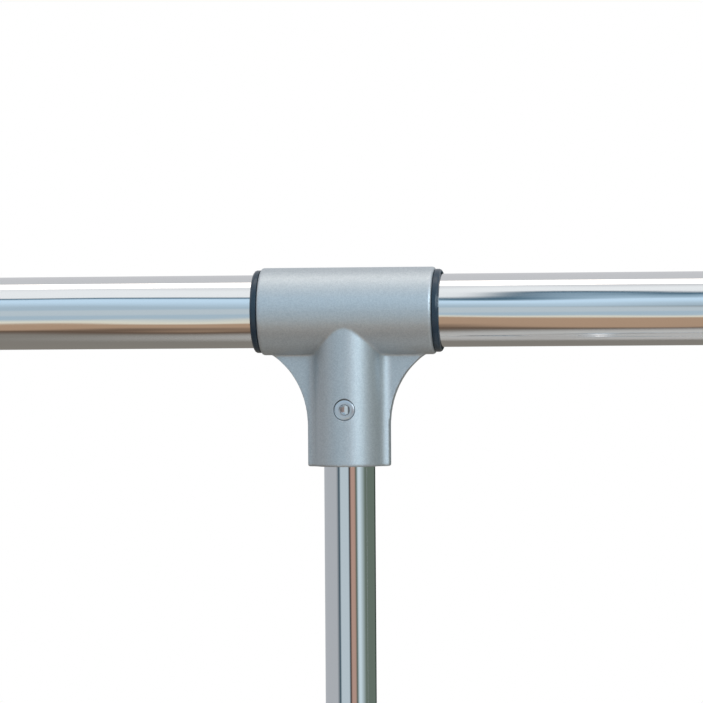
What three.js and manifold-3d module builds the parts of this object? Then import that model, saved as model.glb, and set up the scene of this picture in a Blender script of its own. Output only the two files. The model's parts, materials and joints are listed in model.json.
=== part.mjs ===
// Rolling clothes rack: a telescopic hanging rail on two telescopic posts, over a rectangular
// tube base on four swivel casters. Millimetres, +Z up, X along the rail, front is -Y,
// origin on the floor under the middle of the base.
import * as THREE from "three";
import { mergeVertices } from "three/addons/utils/BufferGeometryUtils.js";
import Module from "manifold-3d";

// ---- driving dimensions ----
const GAP = 0.3; // clearance between neighbouring pieces
const ROUND = 20; // sides of a round piece
const SMALL = 12; // sides of a small round piece
const POST_X = 440; // half the distance between the posts

const RAIL = { radius: 15.9, wall: 1.2, half: 640, height: 1560 };
const ROD = { radius: 14.2, wall: 1, length: 430 }; // slides inside the rail
const POST = { radius: 11.1, wall: 1, length: 900 }; // upper, sliding tube
const SLEEVE = { radius: 12.7, wall: 1.2, top: 900 }; // lower, fixed tube
const BASE = { radius: 12.7, wall: 1.2, height: 80, halfDepth: 220 };

// A tee: a collar along X, an oval socket downwards and a flared web on both sides of it.
const RAIL_TEE = {
  collar: 19,
  half: 38,
  bore: 17.6,
  floor: 20.6, // rail axis to the end of the post's bore
  post: POST.radius,
  socketHalfWidth: 15,
  socketHalfDepth: 17.4,
  drop: 67.4, // rail axis to the socket's mouth
  webHalf: 17.9,
  webReach: 35, // half width of the web under the collar
  flareStart: 50, // where the web starts to flare, below the rail axis
  screwDrop: 42.8,
};
const FOOT_TEE = {
  collar: 17,
  half: 32,
  bore: BASE.radius + GAP,
  floor: 14.5,
  post: SLEEVE.radius,
  socketHalfWidth: 17,
  socketHalfDepth: 18,
  drop: 58,
  webHalf: 19,
  webReach: 30,
  flareStart: 44,
  screwDrop: 38,
};
const WEB_THICKNESS = 6;
const FLARE_SWEEP = 1.12; // radians of the quarter ellipse that the web's edge follows
const RING = { sleeve: 17.3, flange: 18, depth: 12, thickness: 3 };
const SCREW = { head: 4.5, headDepth: 1.9, shank: 3, hex: 2.4, hexDepth: 2, length: 8, sink: 1 };

const HEIGHT_COLLAR = { radius: 17, below: 34, above: 22, boss: 8, bossReach: 22 };
const END_COLLAR = { radius: 18.5, below: 22, above: 14, boss: 7, bossReach: 24 };
const KNOB = { radius: 14.5, lobe: 1.8, lobes: 6, thickness: 13, stud: 3 };
const CAP = { radius: 17.5, face: 10, plug: 12.9, depth: 14, length: 15 };
const PLUG = { radius: 11.2, core: 9.8, below: 8, above: 12 };

const CORNER = { hub: 18, sleeve: 16.6, reach: 46, tubeStart: 20, below: 18.8, dome: 20.4 };
const WHEEL = { radius: 25, halfTread: 7.5, halfWidth: 9, hub: 6.5, hubHalf: 10.1 };
const STEM = { radius: 5.5, head: 8, flange: 14, low: 52.4, top: 90 };
const FORK = { top: 57.5, plate: 2.6, inner: 10.5, outer: 12.6, trail: 18 };
const AXLE = { radius: 3, head: 5, half: 15 };
const PEDAL = { x: 34, z: 50, pin: 2, hub: 4, reach: 24, rise: 14, halfWidth: 9.8, pinHalf: 13.6 };

// ---- materials ----
const finish = (color, roughness, metalness) =>
  new THREE.MeshStandardMaterial({ color, roughness, metalness });
const CHROME = finish("#d9dce0", 0.08, 1);
const SILVER_PAINT = finish("#a9b4bf", 0.45, 0.6);
const DARK_PLASTIC = finish("#262c33", 0.5, 0);
const ZINC_STEEL = finish("#b9bdc2", 0.3, 1);
const WHEEL_PLASTIC = finish("#2c2e31", 0.6, 0);

// ---- geometry helpers ----
const wasm = await Module();
wasm.setup();

// A solid of revolution about +Z, from [radius, z] pairs that go up the outside.
function revolve(profile, sides = ROUND) {
  const points = profile.map(([r, z]) => new THREE.Vector2(r, z));
  return new THREE.LatheGeometry(points, sides, Math.PI / sides).rotateX(Math.PI / 2);
}

const cylinder = (radius, low, high, sides) =>
  revolve([[0, low], [radius, low], [radius, high], [0, high]], sides);

const tube = ({ radius, wall }, low, high) =>
  revolve([
    [radius - wall, low],
    [radius, low],
    [radius, high],
    [radius - wall, high],
    [radius - wall, low],
  ]);

// Turn a shape made along +Z so that it lies along +X or +Y.
const alongX = (geometry) => geometry.rotateY(Math.PI / 2);
const alongY = (geometry) => geometry.rotateX(-Math.PI / 2);

// Turn a shape that faces +X so that it faces the given side.
const facing = (geometry, side) => geometry.rotateZ(side > 0 ? 0 : Math.PI);

// A plate centred on the XZ plane, from a counter-clockwise outline of [x, z] points.
function plate(outline, thickness) {
  const shape = new THREE.Shape(outline.map(([x, z]) => new THREE.Vector2(x, z)));
  return new THREE.ExtrudeGeometry(shape, { depth: thickness, bevelEnabled: false })
    .translate(0, 0, -thickness / 2)
    .rotateX(Math.PI / 2);
}

// The welded solid of a closed geometry.
function solid(geometry) {
  const bare = geometry.clone();
  bare.deleteAttribute("normal");
  bare.deleteAttribute("uv");
  const merged = mergeVertices(bare, 1e-4);
  return new wasm.Manifold(
    new wasm.Mesh({
      numProp: 3,
      vertProperties: merged.attributes.position.array,
      triVerts: new Uint32Array(merged.index.array),
    }),
  );
}

// Joins the first list of geometries and cuts the second list out of the result.
function carve(joined, cuts = []) {
  const whole = joined.map(solid).reduce((a, b) => a.add(b));
  const mesh = cuts.map(solid).reduce((a, b) => a.subtract(b), whole).getMesh();
  const vertices = new THREE.BufferAttribute(mesh.vertProperties, mesh.numProp);
  return new THREE.BufferGeometry()
    .setAttribute("position", vertices)
    .setIndex(new THREE.BufferAttribute(mesh.triVerts, 1));
}

// ---- tee connectors ----
// Right edge of a tee's web, from the socket's mouth up to the collar.
function webEdge({ webHalf, webReach, flareStart, drop, collar }) {
  const steps = 8;
  const low = -flareStart;
  const high = -collar + 1;
  const width = (webReach - webHalf) / (1 - Math.cos(FLARE_SWEEP));
  const edge = [[webHalf, -drop]];
  for (let i = 0; i <= steps; i += 1) {
    const angle = (FLARE_SWEEP * i) / steps;
    const rise = Math.sin(angle) / Math.sin(FLARE_SWEEP);
    edge.push([webHalf + width * (1 - Math.cos(angle)), low + rise * (high - low)]);
  }
  return edge;
}

function tee(size) {
  const { collar, half, bore, floor, post, socketHalfWidth, socketHalfDepth, drop } = size;
  const barrel = alongX(
    revolve([[0, -half], [collar - 0.8, -half], [collar, 0.8 - half], [collar, half - 0.8],
      [collar - 0.8, half], [0, half]]),
  );
  const socket = cylinder(1, -drop, 0).scale(socketHalfWidth, socketHalfDepth, 1);
  const right = webEdge(size);
  const left = right.map(([x, z]) => [-x, z]).toReversed();
  const web = plate([...right, ...left], WEB_THICKNESS);
  const seat = SCREW.sink + SCREW.headDepth + GAP; // depth of the recess for the screw's head
  const cuts = [
    alongX(cylinder(bore, -half - 1, half + 1)),
    cylinder(post + GAP, -drop - 1, -floor),
    alongY(cylinder(SCREW.shank + GAP, -collar - 1, 0, SMALL)).translate(0, 0, -size.screwDrop),
    alongY(cylinder(SCREW.head + GAP, -collar - 2, seat - socketHalfDepth, SMALL))
      .translate(0, 0, -size.screwDrop),
  ];
  return carve([barrel, socket, web], cuts);
}

// Plastic ring that centres the rail in the +X end of a tee: a sleeve inside, a flange outside.
function teeRing() {
  const { sleeve, flange, depth, thickness } = RING;
  const bore = RAIL.radius + GAP;
  return alongX(
    revolve([[bore, -depth], [sleeve, -depth], [sleeve, GAP], [flange, GAP], [flange, thickness],
      [bore, thickness], [bore, -depth]]),
  );
}

// Button-head screw along +Y, with its head's face at y = 0 and a hexagon socket.
function socketScrew() {
  const { head, headDepth, shank, hex, hexDepth, length } = SCREW;
  const body = revolve(
    [[0, 0], [head - 0.9, 0], [head, 0.9], [head, headDepth], [shank, headDepth], [shank, length],
      [0, length]],
    SMALL,
  );
  return alongY(carve([body], [cylinder(hex, -1, hexDepth, 6)]));
}

// ---- locking collars and knobs ----
// Collar along +Z over the end of an outer tube, round the inner tube that slides in it, with a
// threaded boss towards -Y.
function lockCollar({ radius, below, above, boss, bossReach }, outerTube, innerTube) {
  const stud = KNOB.stud + GAP;
  const body = revolve([[0, -below], [radius, -below], [radius, above - 2], [radius - 2, above],
    [0, above]]);
  const lug = alongY(cylinder(boss, -bossReach, 0, SMALL)).translate(0, 0, above / 2);
  const cuts = [
    cylinder(outerTube.radius + GAP, -below - 1, GAP),
    cylinder(innerTube.radius + GAP, -1, above + 1),
    alongY(cylinder(stud, -bossReach - 1, 0, SMALL)).translate(0, 0, above / 2),
  ];
  return carve([body, lug], cuts);
}

// Lobed clamping knob towards -Y, with its back face at y = 0 and a stud towards +Y that stops
// just short of the inner tube.
function knob(bossReach, innerTube) {
  const { radius, lobe, lobes, thickness, stud } = KNOB;
  const steps = lobes * 6;
  const outline = [];
  for (let i = 0; i < steps; i += 1) {
    const angle = (2 * Math.PI * i) / steps;
    const reach = radius + lobe * Math.cos(lobes * angle);
    outline.push([reach * Math.cos(angle), reach * Math.sin(angle)]);
  }
  const grip = plate(outline, thickness).translate(0, -thickness / 2, 0);
  const studLength = bossReach + GAP - innerTube.radius - 0.1;
  return carve([grip, alongY(cylinder(stud, -1, studLength, SMALL))]);
}

// ---- small fittings ----
// Stop on the outer end of an extension rod, facing +X.
const rodEndCap = () =>
  alongX(
    revolve([[0, -CAP.depth], [CAP.plug, -CAP.depth], [CAP.plug, 0], [CAP.radius, 0],
      [CAP.radius, CAP.length / 2], [CAP.face, CAP.length], [0, CAP.length]]),
  );

// Glide plug in the lower end of a sliding post.
const glidePlug = () =>
  revolve([[0, -PLUG.below], [PLUG.radius, -PLUG.below], [PLUG.radius, -GAP], [PLUG.core, -GAP],
    [PLUG.core, PLUG.above], [0, PLUG.above]]);

// Corner of the base: a domed hub over the caster's stem, with sleeves towards the inside.
function cornerConnector(towardX, towardY) {
  const { hub, sleeve, reach, tubeStart, below, dome } = CORNER;
  const body = revolve([[0, -below], [hub, -below], [hub, 9], [hub - 5, 17], [0, dome]]);
  const arms = (make) => [
    facing(alongX(make()), towardX),
    facing(alongX(make()).rotateZ(Math.PI / 2), towardY),
  ];
  const cuts = [
    ...arms(() => cylinder(BASE.radius + GAP, tubeStart - GAP, reach + 1)),
    cylinder(STEM.radius + GAP, -below - 1, STEM.top - BASE.height + GAP, SMALL),
  ];
  return carve([body, ...arms(() => cylinder(sleeve, 0, reach))], cuts);
}

// ---- casters ----
// Stem with its raceway flange above the fork's plate and its riveted head below.
function casterStem() {
  const { radius, head, flange, low, top } = STEM;
  const race = FORK.top + GAP;
  const under = FORK.top - FORK.plate - GAP;
  return revolve(
    [[0, low], [head, low], [head, under], [radius, under], [radius, race], [flange, race],
      [flange, race + 3], [radius, race + 3], [radius, top], [0, top]],
    SMALL,
  );
}

// Fork: a plate under the raceway and two trailing legs, with ears where a brake is fitted.
function casterFork(braked) {
  const { top, plate: gauge, inner, outer, trail } = FORK;
  const leg = [[trail - 4, 18], [trail + 4, 18], [trail + 7, 25], [trail + 5, 44], [20, top],
    [-11, top], [-11, top - 9], [trail - 8, 25]];
  const ear = [[24, 40], [PEDAL.x, PEDAL.z - 4.6], [PEDAL.x + 4.4, PEDAL.z],
    [PEDAL.x, PEDAL.z + 4.6], [18, top - 2]];
  const joined = [
    cylinder(15, top - gauge, top),
    new THREE.BoxGeometry(28, 2 * outer, gauge).translate(4, 0, top - gauge / 2),
  ];
  for (const side of [-1, 1]) {
    for (const outline of braked ? [leg, ear] : [leg]) {
      joined.push(plate(outline, outer - inner).translate(0, (side * (inner + outer)) / 2, 0));
    }
  }
  const across = (radius) => alongY(cylinder(radius + GAP, -outer - 1, outer + 1, SMALL));
  const cuts = [
    cylinder(STEM.radius + GAP, top - gauge - 1, top + 1, SMALL),
    across(AXLE.radius).translate(trail, 0, WHEEL.radius),
  ];
  if (braked) cuts.push(across(PEDAL.pin).translate(PEDAL.x, 0, PEDAL.z));
  return carve(joined, cuts);
}

// Wheel about the Y axis, with a flat facet lowest.
function casterWheel() {
  const { radius, halfTread, halfWidth, hub, hubHalf } = WHEEL;
  const rim = radius / Math.cos(Math.PI / ROUND);
  const bore = AXLE.radius + GAP;
  return alongY(
    revolve([[bore, -hubHalf], [hub, -hubHalf], [hub, -halfWidth], [rim - 2, -halfWidth],
      [rim, -halfTread], [rim, halfTread], [rim - 2, halfWidth], [hub, halfWidth], [hub, hubHalf],
      [bore, hubHalf], [bore, -hubHalf]]),
  );
}

// Axle riveted through the fork's legs.
function casterAxle() {
  const { radius, head, half } = AXLE;
  const leg = FORK.outer + GAP;
  return alongY(
    revolve(
      [[0, -half], [head, -half], [head, -leg], [radius, -leg], [radius, leg], [head, leg],
        [head, half], [0, half]],
      SMALL,
    ),
  );
}

// Brake pedal: a hub with its pin between the fork's ears, and a lever that rises outwards.
function brakePedal() {
  const { pin, hub, reach, rise, halfWidth, pinHalf } = PEDAL;
  const lean = -THREE.MathUtils.degToRad(rise);
  const lever = new THREE.BoxGeometry(reach, 2 * halfWidth, 3).translate(reach / 2, 0, 1);
  const pad = new THREE.BoxGeometry(9, 2 * halfWidth + 6, 4).translate(reach - 1, 0, 1.5);
  return carve([
    alongY(cylinder(hub, -halfWidth, halfWidth, SMALL)),
    alongY(cylinder(pin, -pinHalf, pinHalf, SMALL)),
    lever.rotateY(lean),
    pad.rotateY(lean),
  ]);
}

// ---- assembly ----
const rack = new THREE.Group();

function add(name, geometry, material, x = 0, y = 0, z = 0) {
  const mesh = new THREE.Mesh(geometry, material);
  mesh.name = name;
  mesh.position.set(x, y, z);
  rack.add(mesh);
}

// A tube with a hole for its tee's screw.
function drilledTube(size, low, high, direction, holeHeight) {
  const hole = alongY(cylinder(SCREW.shank + GAP, -size.radius - 2, 0, SMALL));
  return carve([tube(size, low, high)], [hole.rotateZ(direction).translate(0, 0, holeHeight)]);
}

add("hanging_rail", alongX(tube(RAIL, -RAIL.half, RAIL.half)), CHROME, 0, 0, RAIL.height);

for (const [name, side] of [["left", -1], ["right", 1]]) {
  const x = side * POST_X;
  const outward = (side * Math.PI) / 2; // turns a shape that faces -Y to face away from the middle

  // rail tee with its rings and screw
  add(`${name}_rail_tee`, tee(RAIL_TEE), SILVER_PAINT, x, 0, RAIL.height);
  for (const [end, way] of [["outer", side], ["inner", -side]]) {
    const ring = facing(teeRing(), way);
    add(`${name}_tee_${end}_ring`, ring, DARK_PLASTIC, x + way * RAIL_TEE.half, 0, RAIL.height);
  }
  const screwY = SCREW.sink - RAIL_TEE.socketHalfDepth;
  const screwZ = RAIL.height - RAIL_TEE.screwDrop;
  add(`${name}_tee_screw`, socketScrew(), ZINC_STEEL, x, screwY, screwZ);

  // extension rod in the end of the rail
  const railEnd = side * RAIL.half;
  const capStart = END_COLLAR.above + 1;
  const rodEnd = capStart - GAP;
  const rod = facing(alongX(tube(ROD, rodEnd - ROD.length, rodEnd)), side);
  const collar = lockCollar(END_COLLAR, RAIL, ROD).rotateX(Math.PI / 2).rotateZ(outward);
  add(`${name}_rail_end_collar`, collar, SILVER_PAINT, railEnd, 0, RAIL.height);
  add(`${name}_extension_rod`, rod, CHROME, railEnd, 0, RAIL.height);
  const capX = railEnd + side * capStart;
  add(`${name}_rod_end_cap`, facing(rodEndCap(), side), DARK_PLASTIC, capX, 0, RAIL.height);
  const rodKnob = knob(END_COLLAR.bossReach, ROD).rotateX(Math.PI / 2);
  const rodKnobX = railEnd + (side * END_COLLAR.above) / 2;
  const rodKnobZ = RAIL.height - END_COLLAR.bossReach - GAP;
  add(`${name}_rail_lock_knob`, rodKnob, DARK_PLASTIC, rodKnobX, 0, rodKnobZ);

  // telescopic post
  const postTop = RAIL.height - RAIL_TEE.floor - GAP;
  const postLow = postTop - POST.length;
  add(`${name}_sliding_post`, drilledTube(POST, postLow, postTop, 0, screwZ), CHROME, x);
  add(`${name}_post_glide_plug`, glidePlug(), DARK_PLASTIC, x, 0, postLow);
  const sleeveLow = BASE.height + FOOT_TEE.floor + GAP;
  const sleeveHole = BASE.height + FOOT_TEE.screwDrop;
  const sleeve = drilledTube(SLEEVE, sleeveLow, SLEEVE.top, outward, sleeveHole);
  add(`${name}_post_sleeve`, sleeve, CHROME, x);
  add(`${name}_height_collar`, lockCollar(HEIGHT_COLLAR, SLEEVE, POST), SILVER_PAINT, x, 0, SLEEVE.top);
  const knobY = -HEIGHT_COLLAR.bossReach - GAP;
  const knobZ = SLEEVE.top + HEIGHT_COLLAR.above / 2;
  add(`${name}_height_knob`, knob(HEIGHT_COLLAR.bossReach, POST), DARK_PLASTIC, x, knobY, knobZ);

  // foot tube with its tee and screw
  const footHalf = BASE.halfDepth - CORNER.tubeStart;
  const footTee = tee(FOOT_TEE).rotateX(Math.PI).rotateZ(-outward);
  const footScrewX = x + side * (FOOT_TEE.socketHalfDepth - SCREW.sink);
  add(`${name}_foot_tube`, alongY(tube(BASE, -footHalf, footHalf)), CHROME, x, 0, BASE.height);
  add(`${name}_foot_tee`, footTee, SILVER_PAINT, x, 0, BASE.height);
  add(`${name}_foot_tee_screw`, socketScrew().rotateZ(outward), ZINC_STEEL, footScrewX, 0, sleeveHole);
}

// long base tubes, corners and casters; the front casters have brakes, and all trail to +X
for (const [end, way] of [["front", -1], ["rear", 1]]) {
  const y = way * BASE.halfDepth;
  const half = POST_X - CORNER.tubeStart;
  add(`${end}_base_rail`, alongX(tube(BASE, -half, half)), CHROME, 0, y, BASE.height);
  for (const [name, side] of [["left", -1], ["right", 1]]) {
    const x = side * POST_X;
    const corner = `${end}_${name}`;
    const braked = way < 0;
    add(`${corner}_corner`, cornerConnector(-side, -way), SILVER_PAINT, x, y, BASE.height);
    add(`${corner}_caster_stem`, casterStem(), ZINC_STEEL, x, y);
    add(`${corner}_caster_fork`, casterFork(braked), ZINC_STEEL, x, y);
    add(`${corner}_caster_wheel`, casterWheel(), WHEEL_PLASTIC, x + FORK.trail, y, WHEEL.radius);
    add(`${corner}_caster_axle`, casterAxle(), ZINC_STEEL, x + FORK.trail, y, WHEEL.radius);
    if (braked) {
      add(`${corner}_brake_pedal`, brakePedal(), DARK_PLASTIC, x + PEDAL.x, y, PEDAL.z);
    }
  }
}

export default rack;
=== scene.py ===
import json
import logging
import math
from collections.abc import Sequence
from dataclasses import dataclass, field
from enum import Enum

import bmesh
import bpy
from mathutils import Matrix, Vector


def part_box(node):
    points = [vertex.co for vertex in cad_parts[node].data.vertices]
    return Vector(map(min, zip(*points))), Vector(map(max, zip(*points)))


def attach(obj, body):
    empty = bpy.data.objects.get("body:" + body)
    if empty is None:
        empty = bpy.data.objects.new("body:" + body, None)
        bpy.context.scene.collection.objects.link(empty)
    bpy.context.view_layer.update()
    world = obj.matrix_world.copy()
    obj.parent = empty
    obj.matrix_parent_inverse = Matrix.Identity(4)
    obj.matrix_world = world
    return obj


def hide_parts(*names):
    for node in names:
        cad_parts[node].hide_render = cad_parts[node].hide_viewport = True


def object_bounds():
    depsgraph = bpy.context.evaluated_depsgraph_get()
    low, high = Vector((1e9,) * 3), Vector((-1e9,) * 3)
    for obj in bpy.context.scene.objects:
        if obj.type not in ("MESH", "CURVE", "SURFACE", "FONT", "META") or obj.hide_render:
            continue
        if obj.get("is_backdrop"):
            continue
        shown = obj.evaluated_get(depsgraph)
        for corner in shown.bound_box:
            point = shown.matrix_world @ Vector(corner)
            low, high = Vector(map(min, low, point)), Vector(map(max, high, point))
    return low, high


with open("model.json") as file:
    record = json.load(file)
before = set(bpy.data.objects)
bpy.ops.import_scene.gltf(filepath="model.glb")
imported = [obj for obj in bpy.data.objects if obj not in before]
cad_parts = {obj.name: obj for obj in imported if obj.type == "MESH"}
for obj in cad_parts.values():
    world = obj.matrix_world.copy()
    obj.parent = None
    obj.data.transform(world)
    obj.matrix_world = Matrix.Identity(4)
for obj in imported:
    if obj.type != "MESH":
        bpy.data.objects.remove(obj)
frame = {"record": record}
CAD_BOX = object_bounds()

MM = 0.001
ROUND = 96  # sides of a tube that is seen close up
SMALL = 40  # sides of a small round piece
SHARP = math.radians(35)  # an edge that bends more than this is drawn sharp, or is bevelled
MERGE = 1e-7  # vertices closer than this, in metres, are one
OVERRUN = 1.0  # how far a cutter starts outside the face that it cuts, in mm

Point = tuple[float, float]
log = logging.getLogger("clothes_rack")


class Axis(Enum):
    """A direction that a piece is turned to from +Z."""

    X = Matrix.Rotation(math.pi / 2, 4, "Y")
    Y = Matrix.Rotation(-math.pi / 2, 4, "X")
    Z = Matrix.Identity(4)


class Side(Enum):
    """Left and right half of the rack, with the sign of X there."""

    left = -1
    right = 1


class End(Enum):
    """Front and rear of the base, with the sign of Y there."""

    front = -1
    rear = 1


class Cut(Enum):
    """What a cutting shell does, with the name of the boolean for it."""

    away = "DIFFERENCE"
    keep = "INTERSECT"


# ---- finishes ----
def colour(code: str) -> tuple[float, float, float, float]:
    """Turns an sRGB hex value into linear RGBA.

    Args:
        code: the colour as "#rrggbb".

    Returns:
        The linear colour with alpha 1.
    """
    parts = [int(code[i:i + 2], 16) / 255 for i in (1, 3, 5)]
    linear = [p / 12.92 if p <= 0.04045 else ((p + 0.055) / 1.055) ** 2.4 for p in parts]
    return (*linear, 1.0)


def add_node(tree: bpy.types.NodeTree, kind: str, settings: dict | None = None,
             **links: object) -> bpy.types.Node:
    """Adds a node with its settings, and gives its inputs values or links.

    Args:
        tree: the node tree to add to.
        kind: the node's type name.
        settings: the node's own properties by name.
        links: a value or an output socket for each input, whose name has _ for a space, or is
            in_ and the input's number where several inputs share a name.

    Returns:
        The new node.
    """
    node = tree.nodes.new(kind)
    for name, value in (settings or {}).items():
        setattr(node, name, value)
    for name, value in links.items():
        socket = node.inputs[int(name[3:]) if name.startswith("in_") else name.replace("_", " ")]
        if isinstance(value, bpy.types.NodeSocket):
            tree.links.new(value, socket)
        else:
            socket.default_value = value
    return node


def new_material(name: str) -> tuple[bpy.types.Material, bpy.types.NodeTree, bpy.types.Node]:
    """Starts a material with an empty tree and an output.

    Args:
        name: the finish's name.

    Returns:
        The material, its node tree and its output node.
    """
    material = bpy.data.materials.new(name)
    material.use_nodes = True
    tree = material.node_tree
    tree.nodes.clear()
    return material, tree, tree.nodes.new("ShaderNodeOutputMaterial")


@dataclass(frozen=True)
class ChromePlate:
    """Bright chrome on drawn steel tube: a mirror, with faint lines along the tube from polishing."""

    along: Axis
    tint: str = "#eceeef"
    roughness: float = 0.045
    line_mm: float = 0.6  # real lines are finer, drawn as coarse as they need to show
    stretch: float = 60
    haze_mm: float = 28.57
    relief: float = 0.03

    def make(self) -> bpy.types.Material:
        """Builds the material, with its lines along the tube's axis.

        Returns:
            The chrome for tubes along that axis.
        """
        material, tree, out = new_material(f"chrome_plate_{self.along.name.lower()}")
        place = add_node(tree, "ShaderNodeTexCoord").outputs["Object"]
        fine = 1 / (self.line_mm * MM)
        scale = [fine / self.stretch if self.along.name == name else fine for name in "XYZ"]
        turned = add_node(tree, "ShaderNodeMapping", Vector=place, Scale=scale)
        lines = add_node(tree, "ShaderNodeTexNoise", Vector=turned.outputs[0], Scale=1.0, Detail=2.0)
        haze = add_node(tree, "ShaderNodeTexNoise", Vector=place, Scale=1 / (self.haze_mm * MM),
                        Detail=3.0)
        rough = add_node(tree, "ShaderNodeMapRange", Value=haze.outputs["Fac"],
                         To_Min=self.roughness * 0.7, To_Max=self.roughness * 1.6)
        bump = add_node(tree, "ShaderNodeBump", Height=lines.outputs["Fac"], Strength=self.relief,
                        Distance=0.02 * MM)
        shader = add_node(tree, "ShaderNodeBsdfPrincipled", Base_Color=colour(self.tint),
                          Metallic=1.0, Roughness=rough.outputs[0], Normal=bump.outputs[0])
        tree.links.new(shader.outputs[0], out.inputs["Surface"])
        return material


@dataclass(frozen=True)
class SilverPaint:
    """Sprayed and stoved silver paint on a zinc casting: satin, with fine flake and a soft orange peel."""

    light: str = "#cdd4d8"
    dark: str = "#bec6cb"
    flake_mm: float = 0.45  # real flake is finer, drawn as coarse as it needs to show
    peel_mm: float = 1.2  # coarser than real for the same reason
    roughness: float = 0.47
    metallic: float = 0.82  # clear binder over the flake takes the rest
    relief: float = 0.08

    def make(self) -> bpy.types.Material:
        """Builds the material from cells of flake under a soft orange peel.

        Returns:
            The paint.
        """
        material, tree, out = new_material("satin_silver_paint")
        place = add_node(tree, "ShaderNodeTexCoord").outputs["Object"]
        flake = add_node(tree, "ShaderNodeTexVoronoi", Vector=place, Scale=1 / (self.flake_mm * MM))
        glint = add_node(tree, "ShaderNodeSeparateColor", Color=flake.outputs["Color"])
        tone = add_node(tree, "ShaderNodeMix", {"data_type": "RGBA"}, in_0=glint.outputs[0],
                        in_6=colour(self.dark), in_7=colour(self.light))
        peel = add_node(tree, "ShaderNodeTexNoise", Vector=place, Scale=1 / (self.peel_mm * MM),
                        Detail=2.0)
        rough = add_node(tree, "ShaderNodeMapRange", Value=glint.outputs[1],
                         To_Min=self.roughness - 0.04, To_Max=self.roughness + 0.06)
        bump = add_node(tree, "ShaderNodeBump", Height=peel.outputs["Fac"], Strength=self.relief,
                        Distance=0.02 * MM)
        shader = add_node(tree, "ShaderNodeBsdfPrincipled", Base_Color=tone.outputs[2],
                          Metallic=self.metallic, Roughness=rough.outputs[0], Normal=bump.outputs[0])
        tree.links.new(shader.outputs[0], out.inputs["Surface"])
        return material


@dataclass(frozen=True)
class MouldedPlastic:
    """Injection-moulded plastic from a spark-eroded tool: dull, with a fine even grain."""

    name: str
    tint: str
    roughness: float
    grain_mm: float = 0.35  # real grain is finer, drawn as coarse as it needs to show
    relief: float = 0.25
    ior: float = 1.5

    def make(self) -> bpy.types.Material:
        """Builds the material, whose grain also breaks up its gloss a little.

        Returns:
            The plastic or rubber.
        """
        material, tree, out = new_material(self.name)
        place = add_node(tree, "ShaderNodeTexCoord").outputs["Object"]
        grain = add_node(tree, "ShaderNodeTexNoise", Vector=place, Scale=1 / (self.grain_mm * MM),
                         Detail=3.0)
        rough = add_node(tree, "ShaderNodeMapRange", Value=grain.outputs["Fac"],
                         To_Min=self.roughness - 0.08, To_Max=self.roughness + 0.1)
        bump = add_node(tree, "ShaderNodeBump", Height=grain.outputs["Fac"], Strength=self.relief,
                        Distance=0.04 * MM)
        shader = add_node(tree, "ShaderNodeBsdfPrincipled", Base_Color=colour(self.tint), IOR=self.ior,
                          Roughness=rough.outputs[0], Normal=bump.outputs[0])
        tree.links.new(shader.outputs[0], out.inputs["Surface"])
        return material


@dataclass(frozen=True)
class ZincPlate:
    """Bright zinc on pressed or turned steel: greyer than chrome, with soft cloudy patches."""

    light: str = "#e0e4e8"
    dark: str = "#c2c8ce"
    patch_mm: float = 4.0
    roughness: float = 0.27

    def make(self) -> bpy.types.Material:
        """Builds the material from cloudy patches in shade and gloss.

        Returns:
            The zinc plate.
        """
        material, tree, out = new_material("bright_zinc_plate")
        place = add_node(tree, "ShaderNodeTexCoord").outputs["Object"]
        patch = add_node(tree, "ShaderNodeTexNoise", Vector=place, Scale=1 / (self.patch_mm * MM),
                         Detail=4.0)
        tone = add_node(tree, "ShaderNodeMix", {"data_type": "RGBA"}, in_0=patch.outputs["Fac"],
                        in_6=colour(self.dark), in_7=colour(self.light))
        rough = add_node(tree, "ShaderNodeMapRange", Value=patch.outputs["Fac"],
                         To_Min=self.roughness - 0.06, To_Max=self.roughness + 0.1)
        shader = add_node(tree, "ShaderNodeBsdfPrincipled", Base_Color=tone.outputs[2], Metallic=1.0,
                          Roughness=rough.outputs[0])
        tree.links.new(shader.outputs[0], out.inputs["Surface"])
        return material


CHROME = {axis: ChromePlate(axis).make() for axis in Axis}
PAINT = SilverPaint().make()
ZINC = ZincPlate().make()
RING_PLASTIC = MouldedPlastic("slate_polypropylene", "#223746", 0.26).make()
GRIP_PLASTIC = MouldedPlastic("black_polypropylene", "#1e2124", 0.5).make()
HUB_PLASTIC = MouldedPlastic("grey_nylon", "#3a3d40", 0.45).make()
TREAD_RUBBER = MouldedPlastic("thermoplastic_rubber", "#17181a", 0.7, 0.6, 0.4).make()


# ---- mesh work ----
def lathe(profile: Sequence[Point], steps: int = ROUND, rounding: float = 0.0) -> bmesh.types.BMesh:
    """Spins a profile about +Z into a closed shell.

    Args:
        profile: (radius, height) points in mm, from axis to axis, or closing on the first point.
        steps: sides of the shell.
        rounding: bevel on its sharp edges, in mm.

    Returns:
        The shell in metres, with its faces outwards.
    """
    bm = bmesh.new()
    closed = profile[0] == profile[-1]
    points = profile[:-1] if closed else profile
    verts = [bm.verts.new((r * MM, 0, z * MM)) for r, z in points]
    pairs = list(zip(verts, verts[1:]))
    if closed:
        pairs.append((verts[-1], verts[0]))
    edges = [bm.edges.new(pair) for pair in pairs]
    bmesh.ops.spin(bm, geom=verts + edges, cent=(0, 0, 0), axis=(0, 0, 1), angle=math.tau,
                   steps=steps, use_merge=True)
    bmesh.ops.remove_doubles(bm, verts=bm.verts, dist=MERGE)
    bmesh.ops.recalc_face_normals(bm, faces=bm.faces)
    if rounding:
        round_edges(bm, rounding)
    return bm


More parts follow.
